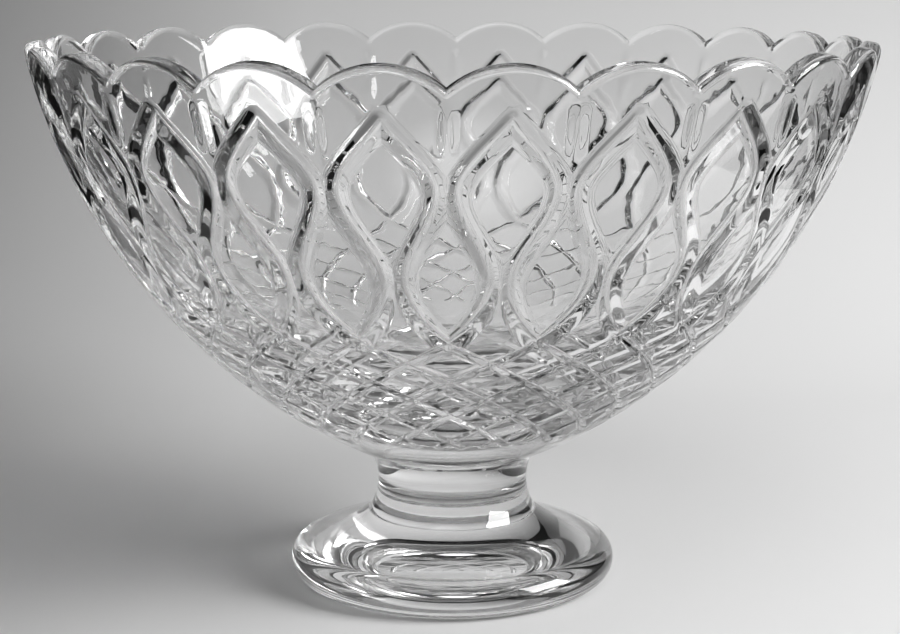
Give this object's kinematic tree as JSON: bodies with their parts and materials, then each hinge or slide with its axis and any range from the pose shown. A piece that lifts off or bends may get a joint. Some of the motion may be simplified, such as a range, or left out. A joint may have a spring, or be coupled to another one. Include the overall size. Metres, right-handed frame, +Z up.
{
  "type": "footed trifle bowl",
  "caption": "Wide footed bowl of clear cut crystal with a scalloped rim, wave-shaped mitre cuts, a short waisted stem and a thick round foot, for trifle, fruit or flowers.",
  "frame": {"origin": "centre of the foot's underside, on the surface that the bowl stands on", "axes": "+Z up along the bowl's axis; a notch of the rim lies over the -Y axis"},
  "size_m": [0.2788, 0.2788, 0.1853],
  "materials": {
    "bowl_crystal": "polished",
    "stem_crystal": "polished",
    "foot_crystal": "polished"
  },
  "bodies": {
    "root": {"bowl": "bowl_crystal", "stem": "stem_crystal", "foot": "foot_crystal"}
  },
  "joints": []
}
